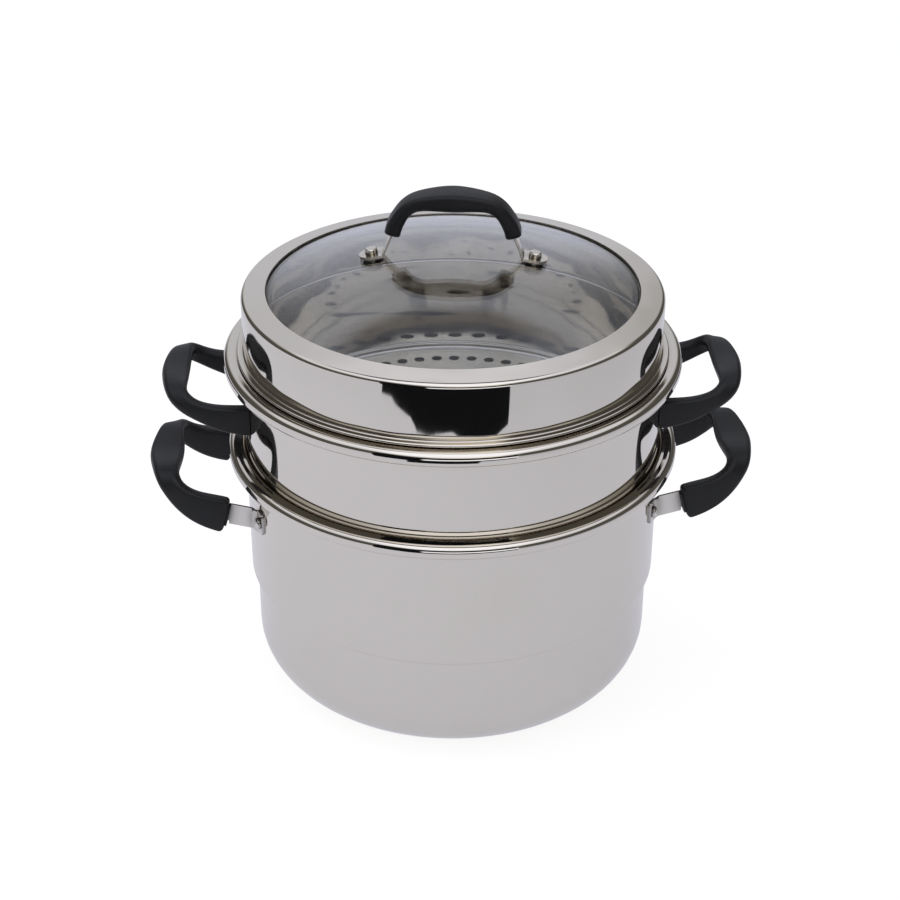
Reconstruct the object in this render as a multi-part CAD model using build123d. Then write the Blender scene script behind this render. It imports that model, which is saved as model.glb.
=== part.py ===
from build123d import *
import os
from math import asin, cos, degrees, radians, sin, sqrt

# A stockpot, a perforated steamer tier that nests in its mouth, and a domed glass lid with a deep
# steel skirt. Z = 0 is the table, the pot's two handles lie along X, and all lengths are millimetres.

# Pressed sheet, shared by the pot and the steamer
sheet = 0.8                      # wall thickness
wall_radius = 121.0              # outside of the upper wall
bead_reach = 9.9                 # how far the rolled rim stands out from the wall
bead_height = 8.4
bead_round = 3.9                 # corner radius of the rolled rim
curl_gap = 1.4                   # from the curl's end to the wall
nest_gap = 1.0                   # between a tier's plug and the mouth that takes it
seat_gap = 0.3                   # between a resting tier and its seat
cut_overrun = 3.0

# Pot
pot_height = 151.0
shoulder_step = 3.3              # how far the lower wall lies inside the upper one
shoulder_height = 69.6           # lower edge of the upper wall
shoulder_drop = 1.8
shoulder_inner_round = 1.6
shoulder_outer_round = 0.6
bottom_round = 28.4              # inside radius of the bottom corner
standing_ring = 11.5             # flat ring between the base's recess and the bottom corner
recess_depth = 1.2
recess_slope = 3.0
recess_round = 2.0

# Steamer
tier_rise = 56.4                 # its rim above the pot's rim
steamer_turn = -1.1              # degrees about Z, against the pot's handles
plug_depth = 3.3                 # how far the floor lies below the nesting shoulder
plug_round = 2.2
nest_round = 0.8
hole_diameter = 6.6
hole_margin = 15.4               # from the plug's inside to the middle of the outer ring of holes
hole_ring_shares = [1.0, 0.67, 0.33]
hole_ring_counts = [58, 24, 12]

# Lid
lid_turn = -6.4                  # degrees about Z, against the pot's handles
band_sheet = 0.7
skirt_inset = 1.6                # how far the skirt lies inside the steamer's wall
skirt_height = 32.8              # from the resting ridge to the top corner
skirt_top_round = 2.5
ridge_reach = 3.9                # pressed ridge that rests on the steamer's rim
ridge_height = 1.7
ridge_root_round = 0.7
tongue_depth = 9.5               # how far the band reaches into the steamer
flange_width = 13.8              # from the skirt to the visible glass
opening_rise = 2.3               # how far the flange climbs from the skirt to the glass
glass_thickness = 4.0
glass_overlap = 4.9              # glass hidden under the flange
dome_radius = 285.0              # outside of the domed glass
seal_lip = 0.5                   # rubber between the flange and the glass
seal_wall = 1.6
seal_reach = 0.3                 # how far the rubber shows inside the steel
glass_fit = 0.1
retainer_sheet = 0.8
retainer_overlap = 3.0           # how far the holding ring reaches under the glass
retainer_leg = 9.0

# Side grips: moulded loops that turn from an upright arm to a flat bar. Starts and reaches are
# measured from the wall, and drops from the rim of the tier that carries the grip
grip_round_share = 0.3           # corner radius against the thinner side of a section
loop_sections = 24
arm_collar_depth = 1.6
arm_collar_share = 0.62          # size of the collar against the arm's end

pot_grip_start = 11.8            # wall to the arm's end
pot_grip_reach = 46.1            # wall to the middle of the bar
pot_grip_drop = 28.8
pot_grip_rise = 18.6
pot_arm_spacing = 81.6
pot_arm_thickness = 8.6
pot_arm_height = 20.4
pot_corner_thickness = 7.9
pot_corner_width = 13.0
pot_bar_thickness = 7.8
pot_bar_width = 19.5
pot_arm_lean = 25.0              # degrees from upright
pot_bar_lean = 91.0

steamer_grip_sink = 6.9          # the arms' sections start this far inside the wall
steamer_grip_reach = 37.7        # wall to the middle of the bar
steamer_grip_drop = 30.4
steamer_grip_rise = 15.7
steamer_arm_spacing = 65.0
steamer_arm_thickness = 8.5
steamer_arm_height = 16.9
steamer_corner_thickness = 7.7
steamer_corner_width = 10.8
steamer_bar_thickness = 7.6
steamer_bar_width = 15.6
steamer_arm_lean = 25.0
steamer_bar_lean = 100.0

# Points along half a loop, from the arm's end to the middle of the bar: share of the reach, share
# of half the arm spacing and share of the rise
pot_loop_shares = [(0.00, 1.00, 0.00), (0.39, 0.96, 0.22), (0.73, 0.90, 0.61), (0.85, 0.82, 0.86),
                   (0.92, 0.68, 1.02), (0.97, 0.42, 1.05), (1.00, 0.00, 1.00)]
steamer_loop_shares = [(0.00, 1.00, 0.00), (0.33, 1.04, 0.15), (0.64, 1.04, 0.43), (0.79, 1.01, 0.66),
                       (0.90, 0.89, 0.90), (0.95, 0.68, 1.01), (0.98, 0.40, 1.02), (1.00, 0.00, 1.00)]

# Where a half loop's section starts and ends its turn, and where it is smallest, from the bar's middle
pot_twist_shares = (0.37, 0.60)
steamer_twist_shares = (0.14, 0.78)
corner_share = 0.5

# Steel straps that carry the pot's grips
strap_thickness = 1.3
strap_height = 13.3
strap_slope_share = 0.26         # fall towards the pot, against the run
strap_tongue_height = 9.0        # the part that enters the grip
strap_tongue_depth = 8.0
strap_offset = 1.6               # strap's middle, inwards of the arm's middle
strap_bend_gap = 3.0             # from the wall to the bend
tab_touch = 3.4                  # from the strap to where its bent end meets the wall, along Y
tab_reach = 10.2                 # from the strap to the tab's far end, along Y
tab_height = 14.6
tab_drop = 32.4                  # middle of the tab below the pot's rim
tab_round = 3.0
rivet_offset = 6.4               # from the strap to the rivet, along Y
rivet_shank = 4.0
rivet_head = 6.4
rivet_head_height = 2.2
rivet_inner_head = 8.4
rivet_inner_height = 1.0
rivet_gap = 0.15
tongue_gap = 0.2

# Steel tongues that carry the steamer's grips, hidden inside the arms
stud_thickness = 2.6
stud_height = 7.0
stud_depth = 9.0

# Lid handle
foot_spacing = 90.6              # between the two screws
foot_width = 13.0
upright_width = 10.0             # of the strap's run up to the grip
foot_outer = 7.2                 # from the screw to the foot's rounded end
foot_inner = 6.6                 # from the screw to the bend
lid_strap_thickness = 1.6
lid_grip_base = 13.9             # bottom of the grip's ends above the feet
lid_tongue_depth = 6.0
lid_grip_span = 67.0             # between the middles of the grip's ends
lid_grip_rise = 19.2             # middle of the arch above its ends
lid_end_thickness = 9.0
lid_end_width = 14.6
lid_bend_thickness = 7.2
lid_bend_width = 16.4
lid_mid_thickness = 10.0
lid_mid_width = 19.0
screw_shank = 4.0
screw_head = 7.0
screw_head_height = 2.9
screw_gap = 0.15
washer_seat = 0.12               # between a flat washer and the domed glass
washer_diameter = 12.0
washer_thickness = 0.9
nut_width = 8.0
nut_height = 4.0

# Points along half the arch, from an end to the crown: share of half the span, share of the rise
lid_arch_shares = [(1.00, 0.00), (0.96, 0.22), (0.90, 0.42), (0.83, 0.61), (0.74, 0.77), (0.63, 0.88),
                   (0.50, 0.94), (0.26, 0.985), (0.00, 1.00)]
lid_bend_share = 0.58            # where half the arch is thinnest, from its crown
arch_sections = 18


def turned(points, radii, thickness, side):
    """A shell of sheet revolved about Z, from one surface of its section."""
    line = FilletPolyline(*points, radius=radii)
    section = make_face(offset(line, amount=thickness, side=side, closed=True))
    return revolve(Plane.XZ * section, Axis.Z)


def ring(outline):
    """A closed outline of radius and height points, revolved about Z."""
    return revolve(Plane.XZ * make_face(Polyline(*outline, close=True)), Axis.Z)


def rim_points(top):
    """The rolled rim as it leaves the inside of the wall, up to the curl's end."""
    low = top - bead_height
    return [(wall_radius - sheet, top), (bead_radius, top), (bead_radius, low),
            (wall_radius + curl_gap, low)]


bead_radius = wall_radius + bead_reach
rim_round = min(bead_round, bead_height * 0.48)
rim_rounds = [rim_round, rim_round, rim_round]


def seat_height(top, corner_radius, corner_round):
    """Height of a rounded corner's centre when it rests in the rim's inner round."""
    reach = rim_round + corner_round + seat_gap
    across = wall_radius - sheet + rim_round - (corner_radius - corner_round)
    return top - rim_round + sqrt(reach ** 2 - across ** 2)


def mirrored(half):
    """A half loop continued to its mirror image, with the middle station shared."""
    return [(place, 1) for place in half] + [(place, -1) for place in reversed(half[:-1])]


def lofted(stations):
    """A solid through rounded rectangles, each a centre, run, thickness, width and width direction."""
    sections = []
    for centre, run, thick, wide, lean in stations:
        wide_way = (lean - run * lean.dot(run)).normalized()
        frame = Plane(origin=centre, x_dir=wide_way.cross(run), z_dir=run)
        sections.append(frame * RectangleRounded(thick, wide, min(thick, wide) * grip_round_share))
    return loft(sections)


def blend(start, end, share):
    """A size part of the way from one to another."""
    return start + (end - start) * share


def eased(share):
    """A share from 0 to 1 that starts and ends gently, held at both ends."""
    held = min(1, max(0, share))
    return held * held * (3 - 2 * held)


def section_size(from_middle, turn_share, middle_size, turn_size, end_size):
    """Thickness and width between the sizes at the middle, at the bend and at the end of a loop."""
    if from_middle > turn_share:
        share = eased((from_middle - turn_share) / (1 - turn_share))
        return [blend(small, large, share) for small, large in zip(turn_size, end_size)]
    share = eased(from_middle / turn_share)
    return [blend(large, small, share) for large, small in zip(middle_size, turn_size)]


def loop_grip(start, end, shares, spacing, sizes, leans, twist):
    """A side grip on the +X side, its sections turning from upright arms to a flat bar."""
    path = Spline(*[Vector(blend(start[0], end[0], out), -side * aside * spacing / 2,
                           blend(start[1], end[1], up)) for (out, aside, up), side in mirrored(shares)])
    stations = []
    for index in range(loop_sections + 1):
        way = index / loop_sections
        from_bar = abs(2 * way - 1)
        thick, wide = section_size(from_bar, corner_share, *sizes)
        lean = radians(blend(*leans, eased((from_bar - twist[0]) / (twist[1] - twist[0]))))
        stations.append((path @ way, path % way, thick, wide, Vector(-sin(lean), 0, cos(lean))))
    return lofted(stations)


def strap_line(out):
    """Height of the pot's strap at a distance from the axis."""
    return pot_grip_base + strap_slope_share * (out - pot_grip_root)


def upright_plate(outline, aside, thickness):
    """A plate in a plane across Y, from radius and height points."""
    plate = extrude(Plane.XZ * make_face(Polyline(*outline, close=True)), thickness / 2, both=True)
    return Pos(0, aside, 0) * plate


def strap_band(start, end, tall, aside, thickness):
    """A sloping run of the pot's strap between two distances from the axis."""
    return upright_plate(
        [(start, strap_line(start) - tall / 2), (end, strap_line(end) - tall / 2),
         (end, strap_line(end) + tall / 2), (start, strap_line(start) + tall / 2)],
        aside, thickness)


def radial(radius, angle, height):
    """A frame on a wall, with its Z axis pointing outwards."""
    return Rot(0, 0, angle) * Pos(radius, 0, height) * Rot(0, 90, 0)


def bent_strap(aside, end):
    """The strap's run towards the wall, with the bend that brings its end against the wall."""
    sign = 1 if aside > 0 else -1
    middle = wall_radius + strap_thickness / 2
    touch = aside + sign * tab_touch
    bend_out = sqrt(wall_radius ** 2 - aside ** 2) + strap_bend_gap
    line = FilletPolyline((end, aside), (bend_out, aside), (sqrt(middle ** 2 - touch ** 2), touch),
                          radius=strap_thickness)
    plan = trace(line, strap_thickness)
    top = strap_line(end) + strap_height
    run = strap_band(0, end + cut_overrun, strap_height, aside, tab_reach * 4)
    return extrude(plan, top) & (run - Cylinder(wall_radius, top * 2))


def wall_tab(strap_aside, sign):
    """The curved tab that lies on the wall beside a strap."""
    outer = wall_radius + strap_thickness
    shell = Cylinder(outer, tab_height) - Cylinder(wall_radius, tab_height)
    near = abs(strap_aside) + tab_touch - strap_thickness
    length = abs(strap_aside) + tab_reach - near
    window = Pos(outer, sign * (near + length / 2), 0) * extrude(
        Plane.YZ * RectangleRounded(length, tab_height, min(tab_round, length * 0.45)), outer / 2, both=True)
    return Pos(0, 0, pot_height - tab_drop) * (shell & window)


def rivet(head_base, inner_base):
    """A rivet along Z, with a domed head outside and a flat one inside the wall."""
    dome = Pos(0, 0, head_base) * Cylinder(rivet_head / 2, rivet_head_height,
                                           align=(Align.CENTER, Align.CENTER, Align.MIN))
    dome = fillet(dome.edges().group_by(Axis.Z)[-1], rivet_head_height * 0.7)
    shank = Pos(0, 0, inner_base) * Cylinder(rivet_shank / 2, head_base - inner_base,
                                             align=(Align.CENTER, Align.CENTER, Align.MIN))
    inner = Pos(0, 0, inner_base) * Cylinder(rivet_inner_head / 2, rivet_inner_height,
                                             align=(Align.CENTER, Align.CENTER, Align.MAX))
    return dome + shank + inner


pieces = {}

# Pot body: recessed base, large bottom corner, stepped wall and rolled rim in one sheet
inner_wall = wall_radius - sheet
lower_inner = inner_wall - shoulder_step
recess_radius = lower_inner - bottom_round - standing_ring - recess_slope
pot_points = [(0, recess_depth + sheet), (recess_radius, recess_depth + sheet),
              (recess_radius + recess_slope, sheet), (lower_inner, sheet),
              (lower_inner, shoulder_height - shoulder_drop), (inner_wall, shoulder_height)]
pot_rounds = [recess_round, recess_round, bottom_round, shoulder_inner_round, shoulder_outer_round]
pot_body = turned(pot_points + rim_points(pot_height), pot_rounds + rim_rounds, sheet, Side.RIGHT)

strap_aside = pot_arm_spacing / 2 - strap_offset
rivet_angle = degrees(asin((strap_aside + rivet_offset) / wall_radius))
rivet_height = pot_height - tab_drop
rivet_base = strap_thickness + rivet_gap
for turn in (0, 180):
    for sign in (-1, 1):
        hole = radial(wall_radius, turn + sign * rivet_angle, rivet_height) * Cylinder(
            rivet_shank / 2 + rivet_gap, cut_overrun * 2)
        pot_body -= hole
pieces["pot_body"] = pot_body

# Steamer body: nesting plug, perforated floor, wall and rolled rim
steamer_height = pot_height + tier_rise
corner_round = nest_round + sheet
nest_height = seat_height(pot_height, wall_radius, corner_round) - nest_round
plug_inner = inner_wall - nest_gap - sheet
floor_height = nest_height - plug_depth
steamer_points = [(0, floor_height), (plug_inner, floor_height), (plug_inner, nest_height),
                  (inner_wall, nest_height)]
steamer_body = turned(steamer_points + rim_points(steamer_height),
                      [min(plug_round, (plug_depth - nest_round) * 0.9), nest_round, nest_round] + rim_rounds,
                      sheet, Side.RIGHT)
punch = Pos(0, 0, floor_height) * Cylinder(hole_diameter / 2, cut_overrun * 2)
outer_ring = plug_inner - hole_margin
for ring_share, count in zip(hole_ring_shares, hole_ring_counts):
    steamer_body -= [place * punch for place in PolarLocations(outer_ring * ring_share, count)]
steamer_frame = Rot(0, 0, steamer_turn)
pieces["steamer_body"] = steamer_frame * steamer_body

# Lid band: flange, skirt, resting ridge and tongue
skirt_radius = wall_radius - skirt_inset
ridge_radius = skirt_radius + ridge_reach
opening_radius = skirt_radius - flange_width
glass_radius = opening_radius + glass_overlap
ridge_round = ridge_height / 2
ridge_base = seat_height(steamer_height, ridge_radius, ridge_round) - ridge_round
ridge_top = ridge_base + ridge_height
band_top = ridge_top + skirt_height
opening_height = band_top + opening_rise
band_points = [(skirt_radius, ridge_base - tongue_depth), (skirt_radius, ridge_base),
               (ridge_radius, ridge_base), (ridge_radius, ridge_top), (skirt_radius, ridge_top),
               (skirt_radius, band_top), (opening_radius, opening_height)]
ridge_tip = ridge_round * 0.98
band_rounds = [ridge_root_round, ridge_tip, ridge_tip, ridge_root_round, skirt_top_round]
lid_frame = Rot(0, 0, lid_turn)
pieces["lid_band"] = lid_frame * turned(band_points, band_rounds, band_sheet, Side.LEFT)

# Glass: a dome of even thickness, clamped under the flange
glass_at_opening = opening_height - band_sheet - seal_lip
dome_centre = glass_at_opening - sqrt(dome_radius ** 2 - opening_radius ** 2)
inner_dome = dome_radius - glass_thickness


def dome_height(radius, sphere):
    """Height of one of the glass's surfaces at a distance from the axis."""
    return dome_centre + sqrt(sphere ** 2 - radius ** 2)


def dome_section(inner_radius, outer_radius, top_sphere, bottom_sphere):
    """Section of a domed ring between two concentric spheres."""
    mid = (inner_radius + outer_radius) / 2
    top = ThreePointArc((inner_radius, dome_height(inner_radius, top_sphere)),
                        (mid, dome_height(mid, top_sphere)),
                        (outer_radius, dome_height(outer_radius, top_sphere)))
    bottom = ThreePointArc((outer_radius, dome_height(outer_radius, bottom_sphere)),
                           (mid, dome_height(mid, bottom_sphere)),
                           (inner_radius, dome_height(inner_radius, bottom_sphere)))
    return make_face([top, Line(top @ 1, bottom @ 0), bottom, Line(bottom @ 1, top @ 0)])


glass = revolve(Plane.XZ * dome_section(0, glass_radius, dome_radius, inner_dome), Axis.Z)

# Seal: a rubber channel round the glass's edge, its upper lip following the flange
seal_inner = opening_radius - seal_reach
seal_outer = glass_radius + glass_fit + seal_wall
flange_slope = opening_rise / flange_width


def flange_under(radius):
    """Height of the flange's lower face at a distance from the axis."""
    return opening_height - band_sheet - flange_slope * (radius - opening_radius)


seal_bottom = dome_height(glass_radius, inner_dome) - glass_fit - seal_wall
seal_block = ring([(seal_inner, seal_bottom), (seal_outer, seal_bottom),
                   (seal_outer, flange_under(seal_outer) - glass_fit),
                   (seal_inner, flange_under(seal_inner) - glass_fit)])
channel = revolve(Plane.XZ * dome_section(0, glass_radius + glass_fit, dome_radius + glass_fit,
                                          inner_dome - glass_fit), Axis.Z)
seal_solids = (seal_block - channel).solids()
pieces["lid_seal"] = lid_frame * max(seal_solids, key=lambda solid: solid.volume)

# Retaining ring: holds the glass and seal from below, with a leg inside the skirt
leg_radius = skirt_radius - band_sheet - glass_fit
shelf_top = seal_bottom - glass_fit
retainer_inner = glass_radius - retainer_overlap
retainer = ring([(retainer_inner, shelf_top), (leg_radius, shelf_top), (leg_radius, shelf_top - retainer_leg),
                 (leg_radius - retainer_sheet, shelf_top - retainer_leg),
                 (leg_radius - retainer_sheet, shelf_top - retainer_sheet),
                 (retainer_inner, shelf_top - retainer_sheet)])
pieces["lid_retainer"] = lid_frame * retainer

# Side grips, left and right, of the pot and the steamer
pot_grip_root = wall_radius + pot_grip_start
pot_grip_base = pot_height - pot_grip_drop
pot_sizes = [(pot_bar_thickness, pot_bar_width), (pot_corner_thickness, pot_corner_width),
             (pot_arm_thickness, pot_arm_height)]
pot_grip = loop_grip((pot_grip_root, pot_grip_base),
                     (wall_radius + pot_grip_reach, pot_grip_base + pot_grip_rise),
                     pot_loop_shares, pot_arm_spacing, pot_sizes, (pot_bar_lean, pot_arm_lean),
                     pot_twist_shares)
steamer_grip_base = steamer_height - steamer_grip_drop
steamer_sizes = [(steamer_bar_thickness, steamer_bar_width), (steamer_corner_thickness, steamer_corner_width),
                 (steamer_arm_thickness, steamer_arm_height)]
steamer_grip = loop_grip((wall_radius - steamer_grip_sink, steamer_grip_base),
                         (wall_radius + steamer_grip_reach, steamer_grip_base + steamer_grip_rise),
                         steamer_loop_shares, steamer_arm_spacing, steamer_sizes,
                         (steamer_bar_lean, steamer_arm_lean), steamer_twist_shares)
steamer_grip -= Pos(0, 0, steamer_grip_base) * Cylinder(wall_radius + seat_gap, steamer_arm_height * 2)

straps = {}
rivets = {}
studs = {}
collar_start = pot_grip_root - arm_collar_depth
tongue_end = pot_grip_root + strap_tongue_depth
stud_end = wall_radius + stud_depth
stud_height_line = steamer_grip_base + steamer_grip_rise * steamer_loop_shares[1][2] / 2
for name, sign in (("front", -1), ("back", 1)):
    arm_aside = sign * pot_arm_spacing / 2
    aside = sign * strap_aside
    collar = strap_band(collar_start, pot_grip_root + arm_collar_depth, pot_arm_height * arm_collar_share,
                        arm_aside, pot_arm_thickness * arm_collar_share)
    pocket = strap_band(collar_start - cut_overrun, tongue_end + tongue_gap,
                        strap_tongue_height + tongue_gap * 2, aside, strap_thickness + tongue_gap * 2)
    pot_grip = pot_grip + collar - pocket

    tongue = strap_band(collar_start - tongue_gap - strap_thickness, tongue_end, strap_tongue_height, aside,
                        strap_thickness)
    straps[name] = bent_strap(aside, collar_start - tongue_gap) + tongue + wall_tab(aside, sign)
    frame = radial(wall_radius, sign * rivet_angle, rivet_height)
    straps[name] -= frame * Cylinder(rivet_shank / 2 + rivet_gap, cut_overrun * 2)
    rivets[name] = frame * rivet(rivet_base, -sheet - rivet_gap)

    stud_place = Pos(stud_end / 2, sign * steamer_arm_spacing / 2, stud_height_line)
    studs[name] = stud_place * Box(stud_end, stud_thickness, stud_height)
    studs[name] -= Pos(0, 0, stud_height_line) * Cylinder(wall_radius, stud_height * 2)
    steamer_grip -= Pos(tongue_gap, 0, 0) * stud_place * Box(
        stud_end, stud_thickness + tongue_gap * 2, stud_height + tongue_gap * 2)

for hand, turn in (("right", 0), ("left", 180)):
    pieces[f"pot_grip_{hand}"] = Rot(0, 0, turn) * pot_grip
    pieces[f"steamer_grip_{hand}"] = steamer_frame * Rot(0, 0, turn) * steamer_grip
    for name in ("front", "back"):
        where = name if hand == "right" else {"front": "back", "back": "front"}[name]
        pieces[f"pot_strap_{hand}_{where}"] = Rot(0, 0, turn) * straps[name]
        pieces[f"pot_rivet_{hand}_{where}"] = Rot(0, 0, turn) * rivets[name]
        pieces[f"steamer_stud_{hand}_{where}"] = steamer_frame * Rot(0, 0, turn) * studs[name]

# Lid handle: two feet that follow the dome, a moulded arch, and its screws, washers and nuts
foot_radius = foot_spacing / 2
foot_tilt = degrees(asin(foot_radius / dome_radius))
foot_frame = Pos(0, 0, dome_centre) * Rot(0, foot_tilt, 0) * Pos(0, 0, dome_radius)
plate_base = washer_seat + washer_thickness + glass_fit
plate_top = plate_base + lid_strap_thickness
feet_height = dome_height(foot_radius, dome_radius) + plate_top
grip_base = feet_height + lid_grip_base
grip_end = lid_grip_span / 2

foot_outline = RectangleRounded(foot_outer + foot_width, foot_width, foot_width * 0.49)
foot = Pos(foot_outer - (foot_outer + foot_width) / 2, 0, plate_base) * extrude(
    foot_outline, lid_strap_thickness)
foot &= Pos(-foot_inner, 0, plate_base) * Box(foot_inner + foot_outer, foot_width, lid_strap_thickness,
                                              align=(Align.MIN, Align.CENTER, Align.MIN))
foot = foot_frame * foot
bend = foot_frame * Pos(-foot_inner, 0, plate_base + lid_strap_thickness / 2)
bend_point = bend.position
strap_run = Vector(grip_end, 0, grip_base) - bend_point
upright_length = strap_run.length + lid_tongue_depth
upright_frame = Plane(origin=bend_point, x_dir=(0, 1, 0), z_dir=strap_run.normalized())
upright = upright_frame * extrude(RectangleRounded(upright_width, lid_strap_thickness,
                                                   lid_strap_thickness * 0.45), upright_length)
lid_strap = foot + upright
shank_hole = foot_frame * Cylinder(screw_shank / 2 + screw_gap, glass_thickness * 4)
lid_strap -= shank_hole

arch_path = Spline(*[Vector(side * out * grip_end, 0, grip_base + lid_grip_rise * up)
                     for (out, up), side in mirrored(lid_arch_shares)])
arch = []
for index in range(arch_sections + 1):
    way = index / arch_sections
    thick, wide = section_size(abs(2 * way - 1), lid_bend_share, (lid_mid_thickness, lid_mid_width),
                               (lid_bend_thickness, lid_bend_width), (lid_end_thickness, lid_end_width))
    arch.append((arch_path @ way, arch_path % way, thick, wide, Vector(0, 1, 0)))
lid_grip = lofted(arch)
pocket = upright_frame * extrude(Rectangle(upright_width + tongue_gap * 2,
                                           lid_strap_thickness + tongue_gap * 2), upright_length + tongue_gap)
for turn in (0, 180):
    lid_grip -= Rot(0, 0, turn) * pocket
pieces["lid_grip"] = lid_frame * lid_grip

washer = Cylinder(washer_diameter / 2, washer_thickness, align=(Align.CENTER, Align.CENTER, Align.MIN))
washer -= Cylinder(screw_shank / 2 + screw_gap, washer_thickness * 3)
upper_washer = foot_frame * Pos(0, 0, washer_seat) * washer
lower_washer = foot_frame * Pos(0, 0, -glass_thickness - washer_seat - washer_thickness) * washer
nut_top = -glass_thickness - washer_seat - washer_thickness - glass_fit
nut = Pos(0, 0, nut_top) * extrude(RegularPolygon(nut_width / 2, 6, major_radius=False), -nut_height)
nut -= Pos(0, 0, nut_top) * Cylinder(screw_shank / 2, nut_height * 3)
screw = Pos(0, 0, plate_top) * Cylinder(screw_head / 2, screw_head_height,
                                        align=(Align.CENTER, Align.CENTER, Align.MIN))
screw = fillet(screw.edges().group_by(Axis.Z)[-1], screw_head_height * 0.4)
screw += Pos(0, 0, plate_top) * Cylinder(screw_shank / 2, plate_top - nut_top + nut_height,
                                         align=(Align.CENTER, Align.CENTER, Align.MAX))
for hand, turn in (("right", 0), ("left", 180)):
    glass -= Rot(0, 0, turn) * shank_hole
    hand_frame = lid_frame * Rot(0, 0, turn)
    pieces[f"lid_strap_{hand}"] = hand_frame * lid_strap
    pieces[f"lid_upper_washer_{hand}"] = hand_frame * upper_washer
    pieces[f"lid_lower_washer_{hand}"] = hand_frame * lower_washer
    pieces[f"lid_nut_{hand}"] = hand_frame * foot_frame * nut
    pieces[f"lid_screw_{hand}"] = hand_frame * foot_frame * screw
pieces["lid_glass"] = lid_frame * glass

os.makedirs("parts", exist_ok=True)
for node, solid in pieces.items():
    export_step(solid, f"parts/{node}.step")
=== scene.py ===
import math

import bmesh
import bpy
import numpy as np
from mathutils import Matrix, Vector


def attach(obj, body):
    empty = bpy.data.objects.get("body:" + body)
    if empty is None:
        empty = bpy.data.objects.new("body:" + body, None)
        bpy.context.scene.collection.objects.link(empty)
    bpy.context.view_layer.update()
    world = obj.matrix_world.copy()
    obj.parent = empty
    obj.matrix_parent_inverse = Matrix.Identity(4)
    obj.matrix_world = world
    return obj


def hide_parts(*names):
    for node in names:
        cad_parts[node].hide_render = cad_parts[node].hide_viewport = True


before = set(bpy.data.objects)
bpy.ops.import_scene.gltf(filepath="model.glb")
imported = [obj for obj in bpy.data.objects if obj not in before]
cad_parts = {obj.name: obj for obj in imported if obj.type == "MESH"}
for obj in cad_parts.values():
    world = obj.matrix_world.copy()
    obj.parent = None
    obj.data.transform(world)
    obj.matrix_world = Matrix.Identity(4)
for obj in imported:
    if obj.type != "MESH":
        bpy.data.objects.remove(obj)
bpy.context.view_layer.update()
mm = 0.001
print("frame: loaded", len(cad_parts), "nodes")


# the camera comes first, then the materials and the stage, and then a section for each part of the set

camera = {
    "lens": 73.66,          # on a 36 mm sensor
    "distance": 1089.7,     # from the point it looks at
    "elevation": 29.46,     # degrees above the table
    "azimuth": 3.6,         # degrees from -Y towards -X
    "roll": 0.2,
    "aimHeight": 137.0,
    "aimAside": -1.38,
}


def makeCamera(v):
    turn, up = math.radians(v["azimuth"]), math.radians(v["elevation"])
    right = Vector((math.cos(turn), -math.sin(turn), 0))
    back = Vector((-math.sin(turn) * math.cos(up), -math.cos(turn) * math.cos(up), math.sin(up)))
    aim = right * v["aimAside"] + Vector((0, 0, v["aimHeight"]))
    data = bpy.data.cameras.new("camera")
    data.sensor_width, data.lens = 36, v["lens"]
    data.clip_start, data.clip_end = 0.01, 50
    eye = bpy.data.objects.new("camera", data)
    bpy.context.scene.collection.objects.link(eye)
    level = Matrix((right, back.cross(right), back)).transposed().to_4x4()
    eye.matrix_world = Matrix.Translation((aim + back * v["distance"]) * mm) @ level @ Matrix.Rotation(
        math.radians(v["roll"]), 4, "Z")
    bpy.context.scene.camera = eye


makeCamera(camera)


# shader maths: a socket that takes part in Python expressions, and one method for every other node

class Wire:
    def __init__(self, paint, socket):
        self.paint, self.socket = paint, socket

    def maths(self, operation, first, second):
        return self.paint.add("ShaderNodeMath", {"operation": operation}, {0: first, 1: second})

    def max(self, other):
        return self.maths("MAXIMUM", self, other)

    def __add__(self, other):
        return self.maths("ADD", self, other)

    def __sub__(self, other):
        return self.maths("SUBTRACT", self, other)

    def __rsub__(self, other):
        return self.maths("SUBTRACT", other, self)

    def __mul__(self, other):
        return self.maths("MULTIPLY", self, other)

    def __pow__(self, other):
        return self.maths("POWER", self, other)

    __radd__ = __add__
    __rmul__ = __mul__


class Paint:
    def __init__(self, name, owner=None):
        self.owner = owner or bpy.data.materials.new(name)
        self.owner.use_nodes = True
        self.tree = self.owner.node_tree
        self.tree.nodes.clear()

    def add(self, kind, settings=None, inputs=None, output=0):
        node = self.tree.nodes.new(kind)
        for key, value in (settings or {}).items():
            setattr(node, key, value)
        for key, value in (inputs or {}).items():
            if isinstance(value, Wire):
                self.tree.links.new(value.socket, node.inputs[key])
            else:
                node.inputs[key].default_value = value
        return Wire(self, node.outputs[output])

    def mix(self, factor, first, second):
        return self.add("ShaderNodeMix", {"data_type": "RGBA"}, {0: factor, 6: first, 7: second}, 2)

    def spot(self):
        return self.add("ShaderNodeTexCoord", output="Object")

    def parts(self, vector):
        return [self.add("ShaderNodeSeparateXYZ", {}, {0: vector}, axis) for axis in range(3)]

    def noise(self, scale, size=(1, 1, 1), detail=2.0, rough=0.5):
        place = self.add("ShaderNodeMapping", {}, {"Vector": self.spot(), "Scale": size})
        return self.add("ShaderNodeTexNoise", {}, {"Vector": place, "Scale": scale, "Detail": detail,
                                                  "Roughness": rough})

    def bands(self, value, low, high):
        # 0 below low, 1 above high, and a soft rise between them
        return self.add("ShaderNodeMapRange", {"interpolation_type": "SMOOTHSTEP"},
                        {"Value": value, "From Min": low, "From Max": high})

    def step(self, value, edge, soft):
        return self.bands(value, edge - soft, edge + soft)

    def bump(self, height, distance, strength=1.0):
        return self.add("ShaderNodeBump", {},
                        {"Height": height, "Distance": distance, "Strength": strength})

    def finish(self, surface, kind="ShaderNodeOutputMaterial"):
        end = self.tree.nodes.new(kind)
        self.tree.links.new(surface.socket, end.inputs["Surface"])
        return self.owner


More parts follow.
